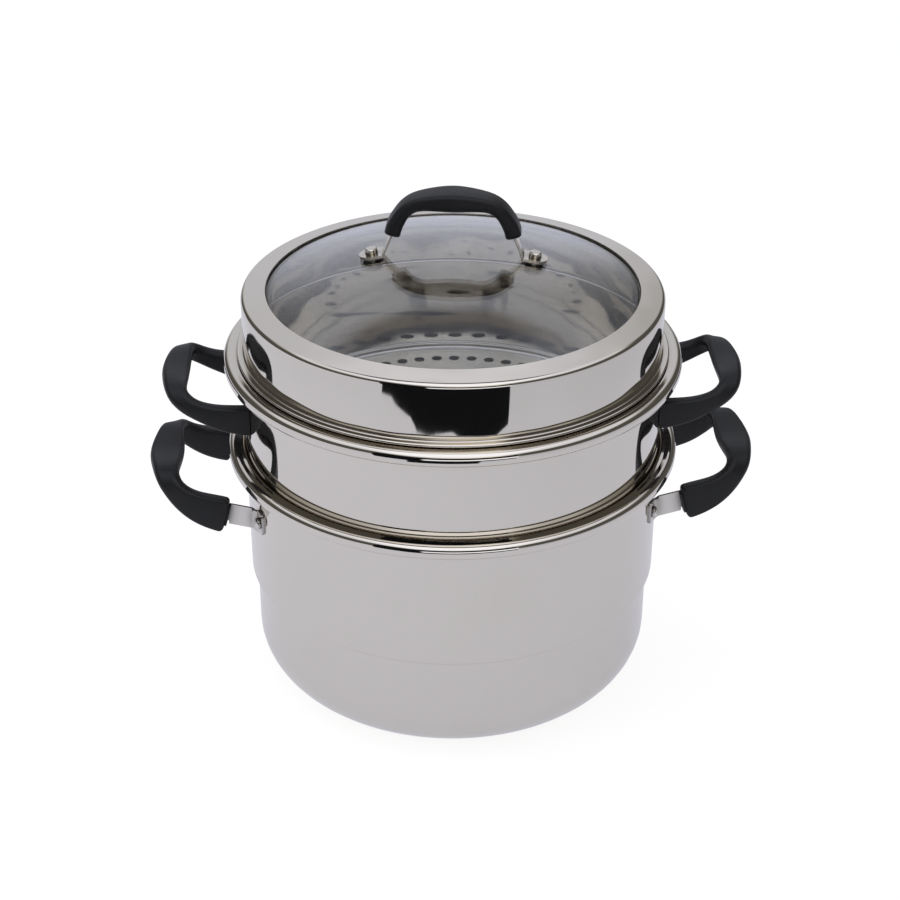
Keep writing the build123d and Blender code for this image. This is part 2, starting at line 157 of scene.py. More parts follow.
def tone(colour, share=1.0):
    return tuple(share * value for value in colour) + (1.0,)


# materials, on Object coordinates in metres: each noise is its scale, its stretch, detail and roughness

steelLook = {
    "colour": (0.745, 0.705, 0.635),
    "stained": (0.60, 0.55, 0.47),
    "stainNoise": (14, (1, 1, 1), 4.0, 0.6),
    "stainReach": (0.5, 0.75),
    "stain": 0.10,
    "smearNoise": (60, (1, 1, 0.3), 3.0),
    "smearReach": (0.4, 0.8),
    "smear": 0.04,
    # a painted shade, warm like repeated reflection, that darkens the steel near other surfaces
    "paintedCreaseShade": (0.27, 0.225, 0.165),
    "crease": 0.004,                     # how near another surface must be for the painted crease shade to show
    "creaseReach": (0.1, 0.85),
    "roughness": 0.03,
    "stainRough": 0.04,
    "smearRough": 0.02,
    "insideRough": 0.02,                 # the steamer's inside is less polished
    "insideRadius": 0.1205,
    "insideHeights": (0.146, 0.2045),
    "insideFades": (0.0002, 0.0005, 0.002),
    "edges": 0.0,                        # how far level faces, such as the straps' cut edges, go towards a painted dark shade
    "edgeReach": (0.6, 0.8),
    "edgeShade": 4.0,
    "edgeRough": 0.25,
    "waveNoise": (22, (1, 1, 0.7), 1.0),
    "waviness": 0.0004,
}
# the fittings take a darker painted crease shade that reaches further
fittingLook = dict(steelLook, roughness=0.12, paintedCreaseShade=(0.03, 0.028, 0.025), crease=0.007, insideRough=0.0)
# the pot's straps: a darker, shaded copy of the fittings' steel, with painted shade on level faces and a
# stronger painted crease shade
strapLook = dict(fittingLook, colour=(0.68, 0.65, 0.60), creaseReach=(0.45, 1.0), edges=0.8)


def polishedSteel(name, v):
    paint = Paint(name)
    stains = paint.bands(paint.noise(*v["stainNoise"]), *v["stainReach"])
    smears = paint.bands(paint.noise(*v["smearNoise"]), *v["smearReach"])
    colour = paint.mix(stains * v["stain"] + smears * v["smear"], tone(v["colour"]), tone(v["stained"]))
    # painted shade: the colour goes towards the painted crease shade where another surface is near
    openness = paint.add("ShaderNodeAmbientOcclusion", {"samples": 6}, {"Distance": v["crease"]}, 1)
    colour = paint.mix(paint.bands(openness, *v["creaseReach"]), tone(v["paintedCreaseShade"]), colour)
    x, y, height = paint.parts(paint.spot())
    wallFade, floorFade, rimFade = v["insideFades"]
    low, high = v["insideHeights"]
    inside = 1 - paint.step((x ** 2 + y ** 2) ** 0.5, v["insideRadius"], wallFade)
    inside = inside * (paint.step(height, low, floorFade) - paint.step(height, high, rimFade))
    rough = v["roughness"] + stains * v["stainRough"] + smears * v["smearRough"] + inside * v["insideRough"]
    # painted shade: level faces, such as the straps' cut edges, go darker and rougher
    if v["edges"]:
        facing = paint.add("ShaderNodeTexCoord", output="Normal")
        upward = paint.add("ShaderNodeSeparateXYZ", {}, {0: facing}, 2)
        paintedLevelShade = paint.bands(upward.max(0 - upward), *v["edgeReach"]) * v["edges"]
        colour = paint.mix(paintedLevelShade, colour, tone(v["paintedCreaseShade"], v["edgeShade"]))
        rough = rough + paintedLevelShade * v["edgeRough"]
    normal = paint.bump(paint.noise(*v["waveNoise"]), v["waviness"])
    return paint.finish(paint.add("ShaderNodeBsdfPrincipled", {}, {
        "Base Color": colour, "Metallic": 1.0, "Roughness": rough, "Normal": normal}))


plasticLook = {
    "colour": (0.0066, 0.0070, 0.0084),
    "worn": (0.0092, 0.0098, 0.0116),
    "wearNoise": (22, (1, 1, 1), 3.0),
    "wearReach": (0.4, 0.8),
    "grain": 900,
    "grainDepth": 0.00003,
    "grainStrength": 0.6,
    "roughness": 0.38,
    "grainRough": 0.08,
    "wearRough": 0.08,
    "specular": 0.28,
}


def gripPlastic(name, v):
    paint = Paint(name)
    grain = paint.noise(v["grain"])
    wear = paint.bands(paint.noise(*v["wearNoise"]), *v["wearReach"])
    return paint.finish(paint.add("ShaderNodeBsdfPrincipled", {}, {
        "Base Color": paint.mix(wear, tone(v["colour"]), tone(v["worn"])),
        "Roughness": v["roughness"] + grain * v["grainRough"] + wear * v["wearRough"],
        "Normal": paint.bump(grain, v["grainDepth"], v["grainStrength"]),
        "Specular IOR Level": v["specular"]}))


rubberLook = {
    "colour": (0.035, 0.033, 0.03),
    "dusty": (0.06, 0.057, 0.052),
    "grain": 500,
    "grainDepth": 0.00003,
    "roughness": 0.55,
    "grainRough": 0.15,
}


def sealRubber(name, v):
    paint = Paint(name)
    grain = paint.noise(v["grain"])
    return paint.finish(paint.add("ShaderNodeBsdfPrincipled", {}, {
        "Base Color": paint.mix(grain, tone(v["colour"]), tone(v["dusty"])),
        "Roughness": v["roughness"] + grain * v["grainRough"],
        "Normal": paint.bump(grain, v["grainDepth"])}))


glassLook = {
    "colour": (0.86, 0.895, 0.94),
    "filmed": (0.83, 0.865, 0.91),
    "filmNoise": (18, (1, 1, 1), 3.0),
    "filmReach": (0.35, 0.85),
    "coat": 0.5,
    "filmCoat": 0.2,
    "coatRoughness": 0.02,
    "shadow": (0.85, 0.86, 0.88),
}


def lidGlass(name, v):
    paint = Paint(name)
    film = paint.bands(paint.noise(*v["filmNoise"]), *v["filmReach"])
    shader = paint.add("ShaderNodeBsdfPrincipled", {}, {
        "Base Color": paint.mix(film, tone(v["colour"]), tone(v["filmed"])),
        "Roughness": 0.0, "IOR": 1.5, "Transmission Weight": 1.0,
        "Coat Weight": v["coat"] + film * v["filmCoat"], "Coat Roughness": v["coatRoughness"]})
    clear = paint.add("ShaderNodeBsdfTransparent", {}, {"Color": tone(v["shadow"])})
    shadow = paint.add("ShaderNodeLightPath", output="Is Shadow Ray")
    return paint.finish(paint.add("ShaderNodeMixShader", {}, {0: shadow, 1: shader, 2: clear}))


steel = polishedSteel("polishedSteel", steelLook)
lidSteel = polishedSteel("lidSteel", dict(steelLook, waviness=0.0016))
fittingSteel = polishedSteel("fittingSteel", fittingLook)
strapSteel = polishedSteel("strapSteel", strapLook)
plastic = gripPlastic("gripPlastic", plasticLook)
rubber = sealRubber("sealRubber", rubberLook)
glass = lidGlass("lidGlass", glassLook)
print("materials: steel, plastic, rubber and glass")


# the stage: a white floor and surroundings, soft lamps, and a dark card with a pale window in front,
# which only the gloss shows

stage = {
    "paleTint": (0.88, 0.895, 0.985),
    "roomTint": (1.0, 0.955, 0.88),
    "floorHalf": 6.0,
    "floorSeen": (1.06, 1.06, 1.06),
    "floorMatt": (0.85, 0.85, 0.86),
    "floorShare": 0.85,                  # of the pale glow in what is seen or mirrored
    "tableTint": (0.865, 0.88, 1.01),
    "tableGlow": (0.725, 0.655),         # near the set and far from it
    "glowReach": (0.42, 0.58),
    "glowFall": 0.12,                    # for each metre along X
    "cardRadius": 0.475,
    "cardHeight": 0.38,
    "cardFoot": [(-32, 0.030), (-27, 0.026), (-21, 0.015), (-18, 0.0), (-9, 0.0), (0, 0.0), (8, 0.0),
                 (12, 0.010), (19, 0.014), (26.5, 0.022)],
    "cardColour": (0.006, 0.0065, 0.008),
    "windowHeights": (0.10, 0.20),
    "windowAngles": (-12, 27),
    "windowFades": (0.01, 0.02),         # in metres up and in radians round
    "diffuseSky": 0.85,
    "frontAzimuth": 25.0,
    "frontReach": (0.55, 0.85),
    "lowFront": 0.98,
    "lowBack": 0.70,
    "lowSides": 0.09,
    "sideReach": (0.2, 0.5),
    "high": 0.92,
    "highReach": (0.56, 0.74),
    "overhead": 1.4,                     # the soft box above the front
    "overheadWidth": (0.25, 0.6),
    "overheadDepth": (0.0, 0.5),
    "overheadReach": (0.60, 0.75),
    "barDark": 0.85,                     # the dark bar above the back
    "barHeights": (0.77, 0.97),
    "barFades": (0.06, 0.015),
    "barWidth": (0.18, 0.38),
    "barDepth": (0.0, 0.2),
    "insideGlow": 0.84,                  # for light that came in through the lid's glass
    "insideEvenness": 0.8,
}
lampAim = (0, 0, 0.15)
lamps = {
    "overheadLamp": {"place": (-0.3, 0.2, 1.9), "size": (1.6, 1.2), "power": 14},
    "leftLamp": {"place": (-1.6, -0.6, 1.1), "size": (0.9, 1.2), "power": 7},
}


def depths(paint):
    return [paint.add("ShaderNodeLightPath", output=kind) for kind in ("Glossy Depth", "Diffuse Depth")]


def seenDirectly(paint):
    # 1 for what the camera sees, also through glass, or else 0
    glossy, diffuse = depths(paint)
    return paint.add("ShaderNodeMath", {"operation": "LESS_THAN"}, {0: glossy + diffuse, 1: 0.5})


def seenInGloss(paint):
    # 1 for what shows in a polished face and lit no matt one on the way, or else 0
    glossy, diffuse = depths(paint)
    return paint.add("ShaderNodeMath", {"operation": "GREATER_THAN"}, {0: glossy - diffuse * 100, 1: 0.5})


def stagePiece(name, corners, faces):
    mesh = bpy.data.meshes.new(name)
    mesh.from_pydata(corners, [], faces)
    piece = bpy.data.objects.new(name, mesh)
    bpy.context.scene.collection.objects.link(piece)
    return piece


def makeFloor(v):
    half = v["floorHalf"]
    floor = stagePiece("floor", [(-half, -half, 0), (half, -half, 0), (half, half, 0), (-half, half, 0)],
                       [(0, 1, 2, 3)])
    paint = Paint("floor")
    direct, spot = seenDirectly(paint), paint.spot()
    near, far = v["tableGlow"]
    away = paint.add("ShaderNodeVectorMath", {"operation": "LENGTH"}, {0: spot}, 1)
    aside = paint.add("ShaderNodeSeparateXYZ", {}, {0: spot}, 0)
    share = (near - paint.bands(away, *v["glowReach"]) * (near - far)) * (1 - aside * v["glowFall"])
    glow = paint.mix(share, (0, 0, 0, 1), tone(v["tableTint"]))
    glow = paint.mix(direct, glow, tone(v["floorSeen"]))
    pale = paint.add("ShaderNodeEmission", {}, {"Color": glow, "Strength": 1.0})
    matt = paint.add("ShaderNodeBsdfDiffuse", {}, {"Color": tone(v["floorMatt"])})
    share = (direct + seenInGloss(paint)) * v["floorShare"]
    mixed = paint.add("ShaderNodeMixShader", {}, {0: share, 1: matt, 2: pale})
    floor.data.materials.append(paint.finish(mixed))


def makeCard(v):
    corners = []
    for angle, foot in v["cardFoot"]:
        turn = math.radians(angle - camera["azimuth"])
        x, y = v["cardRadius"] * math.sin(turn), -v["cardRadius"] * math.cos(turn)
        corners += [(x, y, foot), (x, y, v["cardHeight"])]
    faces = [(k, k + 2, k + 3, k + 1) for k in range(0, len(corners) - 2, 2)]
    card = stagePiece("darkCard", corners, faces)
    paint = Paint("darkCard")
    x, y, height = paint.parts(paint.spot())
    angle = paint.add("ShaderNodeMath", {"operation": "ARCTAN2"}, {0: x, 1: 0 - y})
    (bottom, top), (upright, sideways) = v["windowHeights"], v["windowFades"]
    left, right = [math.radians(a - camera["azimuth"]) for a in v["windowAngles"]]
    window = paint.step(height, bottom, upright) - paint.step(height, top, upright)
    window = window * (paint.step(angle, left, sideways) - paint.step(angle, right, sideways))
    colour = paint.mix(window, tone(v["cardColour"]), tone(v["paleTint"], v["overhead"]))
    card.data.materials.append(paint.finish(paint.add("ShaderNodeEmission", {}, {"Color": colour})))
    card.visible_camera = card.visible_diffuse = card.visible_shadow = card.visible_transmission = False


def makeSurroundings(v):
    world = bpy.data.worlds.new("surroundings")
    bpy.context.scene.world = world
    paint = Paint("surroundings", world)
    x, y, z = paint.parts(paint.add("ShaderNodeTexCoord", output="Generated"))
    across = x.max(0 - x)
    turn = math.radians(v["frontAzimuth"])
    front = paint.bands(x * math.sin(turn) - y * math.cos(turn), *v["frontReach"])
    sides = paint.bands(across, *v["sideReach"])
    low = v["lowBack"] + front * (v["lowFront"] - v["lowBack"])
    low = low + sides * (v["lowSides"] - low)
    box = (1 - paint.bands(across, *v["overheadWidth"])) * (1 - paint.bands(y, *v["overheadDepth"]))
    high = paint.bands(z, *v["highReach"]).max(box * paint.bands(z, *v["overheadReach"]))
    glossy = low + high * (v["high"] + box * (v["overhead"] - v["high"]) - low)
    (lower, upper), (fade, soft) = v["barHeights"], v["barFades"]
    bar = paint.bands(z, lower - fade, lower + soft) - paint.step(z, upper, soft)
    bar = bar * (1 - paint.bands(across, *v["barWidth"])) * paint.bands(y, *v["barDepth"])
    glossy = glossy * (1 - bar * v["barDark"])
    crossed = paint.add("ShaderNodeLightPath", output="Transmission Depth")
    insideSet = paint.add("ShaderNodeMath", {"operation": "GREATER_THAN"}, {0: crossed, 1: 0.5})
    glossy = glossy + insideSet * (v["insideGlow"] - glossy) * v["insideEvenness"]
    room = front.max(sides) * (1 - high) * (1 - insideSet * v["insideEvenness"])
    isGlossy, direct = seenInGloss(paint), seenDirectly(paint)
    tint = paint.mix(room, tone(v["paleTint"]), tone(v["roomTint"]))
    tint = paint.mix(direct, tint, (1, 1, 1, 1))
    strength = v["diffuseSky"] + direct * (1.0 - v["diffuseSky"])
    strength = strength + isGlossy * (glossy - strength)
    paint.finish(paint.add("ShaderNodeBackground", {}, {"Color": tint, "Strength": strength}),
                 "ShaderNodeOutputWorld")


def softLamp(name, v):
    data = bpy.data.lights.new(name, "AREA")
    data.shape, data.energy = "RECTANGLE", v["power"]
    data.size, data.size_y = v["size"]
    lamp = bpy.data.objects.new(name, data)
    bpy.context.scene.collection.objects.link(lamp)
    lamp.location = v["place"]
    lamp.visible_camera = lamp.visible_glossy = lamp.visible_transmission = False
    lamp.rotation_euler = (Vector(lampAim) - Vector(v["place"])).to_track_quat("-Z", "Y").to_euler()


makeFloor(stage)
makeCard(stage)
makeSurroundings(stage)
for name, values in lamps.items():
    softLamp(name, values)
print("stage: floor, card and lamps")


# shapes: rounded outlines, turned shells and lofts

def roundedLine(corners, rounds, hold=0.15, step=9.0):
    # points with their left-hand normals along a line whose inner corners are rounded
    line = []
    count = len(corners)
    for i, corner in enumerate(corners):
        here = Vector(corner)
        if i in (0, count - 1):
            way = (Vector(corners[1]) - here) if i == 0 else (here - Vector(corners[i - 1]))
            way.normalize()
            line.append((here, Vector((-way.y, way.x))))
            continue
        before = (here - Vector(corners[i - 1])).normalized()
        after = (Vector(corners[i + 1]) - here).normalized()
        bend = before.angle_signed(after)
        radius = rounds[i - 1]
        reach = radius * math.tan(abs(bend) / 2)
        sign = -1 if bend > 0 else 1
        startNormal = Vector((-before.y, before.x))
        centre = here - before * reach + startNormal * radius * sign
        line.append((here - before * (reach + hold), startNormal))
        steps = max(2, math.ceil(math.degrees(abs(bend)) / step))
        for k in range(steps + 1):
            turn = abs(bend) * k / steps * sign
            normal = Vector((startNormal.x * math.cos(turn) - startNormal.y * math.sin(turn),
                             startNormal.x * math.sin(turn) + startNormal.y * math.cos(turn)))
            line.append((centre - normal * radius * sign, normal))
        line.append((here + after * (reach + hold), Vector((-after.y, after.x))))
    return line


def sheetOutline(corners, rounds, sheet, side=1, hold=0.15):
    # a closed outline of sheet whose one face runs along the corners
    line = roundedLine(corners, rounds, hold)
    face = [point for point, normal in line]
    other = [point + normal * sheet * side for point, normal in line]
    return face + other[::-1]


def turnedMesh(name, outline, segments=256, axisReach=1e-6):
    # turns a closed outline about Z, with one shared point where it meets the axis
    mesh = bpy.data.meshes.new(name)
    verts, rings = [], []
    for point in outline:
        if abs(point[0]) < axisReach:
            rings.append([len(verts)] * segments)
            verts.append((0, 0, point[1] * mm))
            continue
        start = len(verts)
        for k in range(segments):
            turn = 2 * math.pi * k / segments
            verts.append((point[0] * mm * math.cos(turn), point[0] * mm * math.sin(turn), point[1] * mm))
        rings.append(list(range(start, start + segments)))
    faces = []
    for a, b in zip(rings, rings[1:] + rings[:1]):
        if a[0] == a[1] and b[0] == b[1]:
            continue
        for k in range(segments):
            n = (k + 1) % segments
            faces.append(list(dict.fromkeys([a[k], a[n], b[n], b[k]])))
    mesh.from_pydata(verts, [], faces)
    return mesh


def cleaned(mesh, near=1e-7):
    work = bmesh.new()
    work.from_mesh(mesh)
    bmesh.ops.remove_doubles(work, verts=work.verts, dist=near)
    bmesh.ops.recalc_face_normals(work, faces=work.faces)
    work.to_mesh(mesh)
    work.free()
    return mesh


def addPiece(name, mesh, body, material, replaced, turn=0.0, sharp=35.0):
    mesh.transform(Matrix.Rotation(math.radians(turn), 4, "Z"))
    cleaned(mesh)
    mesh.materials.append(material)
    mesh.shade_smooth()
    mesh.set_sharp_from_angle(angle=math.radians(sharp))
    piece = bpy.data.objects.new(name, mesh)
    bpy.context.scene.collection.objects.link(piece)
    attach(piece, body)
    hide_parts(replaced)
    return piece


# the pot and the steamer tier, pressed from one gauge of sheet with the same rolled rim

rimShape = {
    "sheet": 0.8,
    "wall": 121.0,
    "bead": 130.9,
    "height": 8.4,
    "round": 3.5,
    "curlGap": 1.4,
    "ledge": 124.6,
    "ledgeDip": 0.3,
    "ledgeRise": 2.3,
    "ledgeRounds": (3.0, 2.0, 0.8),
}
potShape = {
    "top": 151.0,
    "lowerWall": 117.7,
    "shoulder": 69.6,
    "shoulderDrop": 1.8,
    "shoulderRounds": (1.6, 0.6),
    "bottomRound": 28.4,
    "recess": 74.0,
    "recessDepth": 1.2,
    "recessSlope": 3.0,
    "recessRound": 2.0,
}
steamerShape = {
    "top": 207.4,
    "turn": -1.1,
    "nest": 149.7,
    "floor": 146.4,
    "plugGap": 1.0,
    "plugRounds": (2.2, 0.8, 0.8),
    "holeDiameter": 6.6,
    "holeSides": 28,
    "punchDepth": 4,                     # in thicknesses of the sheet
    "holeRings": [(103.0, 58), (69.0, 24), (34.0, 12)],
}


def rimCorners(top, v):
    # up from the wall, out over a dished ledge and round the bead, with the radius of each corner
    ledge = top - v["ledgeDip"]
    corners = [(v["wall"] - v["sheet"], ledge), (v["ledge"], ledge), (v["ledge"] + v["ledgeRise"], top),
               (v["bead"], top), (v["bead"], top - v["height"]),
               (v["wall"] + v["curlGap"], top - v["height"])]
    return corners, [*v["ledgeRounds"], v["round"], v["round"]]


def makePot(v, rim):
    inner, lower, base = rim["wall"] - rim["sheet"], v["lowerWall"] - rim["sheet"], rim["sheet"]
    corners = [(0, v["recessDepth"] + base), (v["recess"], v["recessDepth"] + base),
               (v["recess"] + v["recessSlope"], base), (lower, base),
               (lower, v["shoulder"] - v["shoulderDrop"]), (inner, v["shoulder"])]
    rounds = [v["recessRound"], v["recessRound"], v["bottomRound"], *v["shoulderRounds"]]
    rimLine, rimRounds = rimCorners(v["top"], rim)
    outline = sheetOutline(corners + rimLine, rounds + rimRounds, rim["sheet"], -1)
    addPiece("potShell", turnedMesh("potShell", outline), "pot", steel, "pot_body")


def setInput(modifier, name, value):
    for item in modifier.node_group.interface.items_tree:
        if item.item_type == "SOCKET" and item.in_out == "INPUT" and item.name == name:
            modifier[item.identifier] = value


def perforations(rings, sides):
    # a node tree that punches rings of round holes through a sheet
    tree = bpy.data.node_groups.new("perforations", "GeometryNodeTree")
    face = tree.interface
    face.new_socket("Sheet", in_out="INPUT", socket_type="NodeSocketGeometry")
    for size in ("Hole Radius", "Floor Height", "Punch Depth"):
        face.new_socket(size, in_out="INPUT", socket_type="NodeSocketFloat")
    for index in range(len(rings)):
        face.new_socket(f"Ring Radius {index}", in_out="INPUT", socket_type="NodeSocketFloat")
        face.new_socket(f"Ring Count {index}", in_out="INPUT", socket_type="NodeSocketInt")
    face.new_socket("Punched", in_out="OUTPUT", socket_type="NodeSocketGeometry")
    make, link = tree.nodes.new, tree.links.new
    start, end = make("NodeGroupInput"), make("NodeGroupOutput")
    punch = make("GeometryNodeMeshCylinder")
    punch.inputs["Vertices"].default_value = sides
    link(start.outputs["Hole Radius"], punch.inputs["Radius"])
    link(start.outputs["Punch Depth"], punch.inputs["Depth"])
    gather = make("GeometryNodeJoinGeometry")
    for index in range(len(rings)):
        circle = make("GeometryNodeMeshCircle")
        link(start.outputs[f"Ring Radius {index}"], circle.inputs["Radius"])
        link(start.outputs[f"Ring Count {index}"], circle.inputs["Vertices"])
        link(circle.outputs[0], gather.inputs[0])
    up = make("ShaderNodeCombineXYZ")
    link(start.outputs["Floor Height"], up.inputs["Z"])
    lift = make("GeometryNodeTransform")
    link(gather.outputs[0], lift.inputs["Geometry"])
    link(up.outputs[0], lift.inputs["Translation"])
    scatter = make("GeometryNodeInstanceOnPoints")
    link(lift.outputs[0], scatter.inputs["Points"])
    link(punch.outputs["Mesh"], scatter.inputs["Instance"])
    real = make("GeometryNodeRealizeInstances")
    link(scatter.outputs[0], real.inputs[0])
    cut = make("GeometryNodeMeshBoolean")
    cut.operation = "DIFFERENCE"
    link(start.outputs["Sheet"], cut.inputs["Mesh 1"])
    link(real.outputs[0], cut.inputs["Mesh 2"])
    coat = make("GeometryNodeSetMaterial")
    coat.inputs["Material"].default_value = steel
    link(cut.outputs["Mesh"], coat.inputs["Geometry"])
    link(coat.outputs[0], end.inputs[0])
    return tree


def makeSteamer(v, rim):
    inner = rim["wall"] - rim["sheet"]
    plug = inner - v["plugGap"] - rim["sheet"]
    corners = [(0, v["floor"]), (plug, v["floor"]), (plug, v["nest"]), (inner, v["nest"])]
    rimLine, rimRounds = rimCorners(v["top"], rim)
    outline = sheetOutline(corners + rimLine, [*v["plugRounds"], *rimRounds], rim["sheet"], -1)
    blank = bpy.data.objects.new("steamerBlank", cleaned(turnedMesh("steamerShell", outline)))
    bpy.context.scene.collection.objects.link(blank)
    punch = blank.modifiers.new("perforations", "NODES")
    punch.node_group = perforations(v["holeRings"], v["holeSides"])
    setInput(punch, "Hole Radius", v["holeDiameter"] / 2 * mm)
    setInput(punch, "Floor Height", (v["floor"] - rim["sheet"] / 2) * mm)
    setInput(punch, "Punch Depth", rim["sheet"] * v["punchDepth"] * mm)
    for index, (radius, count) in enumerate(v["holeRings"]):
        setInput(punch, f"Ring Radius {index}", radius * mm)
        setInput(punch, f"Ring Count {index}", count)
    graph = bpy.context.evaluated_depsgraph_get()
    punched = bpy.data.meshes.new_from_object(blank.evaluated_get(graph))
    punched.name = "steamerShell"
    punched.materials.clear()
    bpy.data.objects.remove(blank)
    return addPiece("steamerShell", punched, "steamer", steel, "steamer_body", v["turn"])


makePot(potShape, rimShape)
steamerShell = makeSteamer(steamerShape, rimShape)
print("tiers: pot and steamer,", len(steamerShell.data.polygons), "faces on the punched one")


# the lid

lidShape = {
    "turn": -6.4,
    "sheet": 0.7,
    "skirt": 119.4,
    "ridgeBase": 207.42,
    "ridge": 123.3,
    "ridgeHeight": 1.7,
    "ridgeRoot": 0.7,
    "ridgeTip": 0.98,                    # 1 would round the ridge fully
    "tongue": 9.5,
    "skirtHeight": 32.8,
    "topRound": 2.5,
    "bandHold": 0.1,                     # flat on each side of a rounded corner
    "opening": 105.6,
    "openingRise": 2.3,
    "glassEdge": 110.5,
    "glassThickness": 4.0,
    "dome": 285.0,
    "domeRings": 24,
    "sealLip": 0.5,
    "sealWall": 1.6,
    "sealReach": 0.3,
    "sealFit": 0.1,                      # between the rubber and what it touches
    "retainerInner": 107.5,
    "retainerLeg": 9.0,
    "retainerSheet": 0.8,
    "retainerRound": 1.2,
    "retainerDrop": 0.2,
    "retainerFit": 0.1,
}


def domeHeight(v, radius, sink=0.0):
    top = v["ridgeBase"] + v["ridgeHeight"] + v["skirtHeight"] + v["openingRise"]
    centre = top - v["sheet"] - v["sealLip"] - math.sqrt(v["dome"] ** 2 - v["opening"] ** 2)
    return centre + math.sqrt((v["dome"] - sink) ** 2 - radius ** 2)


def makeLid(v):
    ridgeTop = v["ridgeBase"] + v["ridgeHeight"]
    bandTop = ridgeTop + v["skirtHeight"]
    openingTop = bandTop + v["openingRise"]
    tip = v["ridgeHeight"] / 2 * v["ridgeTip"]
    corners = [(v["skirt"], v["ridgeBase"] - v["tongue"]), (v["skirt"], v["ridgeBase"]),
               (v["ridge"], v["ridgeBase"]), (v["ridge"], ridgeTop), (v["skirt"], ridgeTop),
               (v["skirt"], bandTop), (v["opening"], openingTop)]
    rounds = [v["ridgeRoot"], tip, tip, v["ridgeRoot"], v["topRound"]]
    band = turnedMesh("lidBand", sheetOutline(corners, rounds, v["sheet"], 1, v["bandHold"]))
    addPiece("lidBand", band, "lid", lidSteel, "lid_band", v["turn"])

    edge, thick = v["glassEdge"], v["glassThickness"]
    radii = [edge * k / v["domeRings"] for k in range(v["domeRings"] + 1)]
    upper = [(r, domeHeight(v, r)) for r in radii]
    lower = [(r, domeHeight(v, r, thick)) for r in radii]
    dome = turnedMesh("lidGlass", upper + lower[::-1])
    addPiece("lidGlass", dome, "lid", glass, "lid_glass", v["turn"])

    inner, outer, fit = v["opening"] - v["sealReach"], edge + v["sealWall"], v["sealFit"]
    slope = v["openingRise"] / (v["skirt"] - v["opening"])
    under = openingTop - v["sheet"]
    sealBase = domeHeight(v, edge, thick) - v["sealWall"]
    rubberLine = [(inner, domeHeight(v, inner) + fit), (inner, under - fit),
                  (outer, under - slope * (outer - v["opening"]) - fit), (outer, sealBase),
                  (inner, sealBase), (inner, domeHeight(v, inner, thick) - fit),
                  (edge + fit, domeHeight(v, edge, thick) - fit), (edge + fit, domeHeight(v, edge) + fit)]
    seal = turnedMesh("lidSeal", rubberLine)
    addPiece("lidSeal", seal, "lid", rubber, "lid_seal", v["turn"])

    shelf, leg = sealBase - v["retainerDrop"], v["skirt"] - v["sheet"] - v["retainerFit"]
    corners = [(v["retainerInner"], shelf), (leg, shelf), (leg, shelf - v["retainerLeg"])]
    ring = turnedMesh("lidRetainer", sheetOutline(corners, [v["retainerRound"]], v["retainerSheet"], -1))
    addPiece("lidRetainer", ring, "lid", steel, "lid_retainer", v["turn"])


makeLid(lidShape)
print("lid: band, glass, seal and retainer")


# grips

gripShape = {                            # what the side grips share
    "cornerShare": 0.5,
    "armRounds": (2.6, 1.5, 1.8, 2.6),
    "barRounds": (3.4, 3.2, 3.5, 3.5),
    "bendRound": 3.6,
    "bendReach": 0.35,
}
potGrip = {
    **gripShape,
    "root": 134.0, "reach": 167.1, "base": 122.2, "rise": 18.6, "spacing": 81.6,
    "arm": (8.6, 20.4), "corner": (7.9, 13.0), "bar": (7.8, 19.5),
    "loop": [(0.00, 1.00, 0.00), (0.39, 0.96, 0.22), (0.73, 0.90, 0.61), (0.86, 0.83, 0.86),
             (0.935, 0.70, 1.02), (0.98, 0.43, 1.05), (1.00, 0.00, 1.00)],
    "leans": (91.0, 25.0), "twist": (0.37, 0.60),
    "cut": 0.0,                          # radius that the arms are cut back to, if any
    "endRound": 2.2, "collar": 1.2,
}
steamerGrip = {
    **gripShape,
    "root": 114.1, "reach": 158.7, "base": 177.0, "rise": 15.7, "spacing": 65.0,
    "arm": (8.5, 16.9), "corner": (7.7, 10.8), "bar": (7.6, 15.6),
    "loop": [(0.00, 1.00, 0.00), (0.33, 1.04, 0.15), (0.64, 1.04, 0.43), (0.80, 1.01, 0.67),
             (0.91, 0.90, 0.90), (0.96, 0.70, 1.01), (0.985, 0.42, 1.02), (1.00, 0.00, 1.00)],
    "leans": (100.0, 25.0), "twist": (0.14, 0.78),
    "cut": 121.3,
}
lidGrip = {
    "base": 276.2, "rise": 19.2, "span": 67.0,
    "end": (9.0, 14.6), "bend": (7.2, 16.4), "middle": (10.0, 19.0), "bendShare": 0.58,
    "arch": [(1.00, 0.00), (0.96, 0.22), (0.90, 0.42), (0.83, 0.61), (0.74, 0.77), (0.63, 0.88),
             (0.50, 0.94), (0.26, 0.985), (0.00, 1.00)],
    "rounds": (2.6, 2.6, 2.6, 2.6), "stations": 60,
}
gripSharp = 50.0                         # degrees between faces from which an edge stays sharp


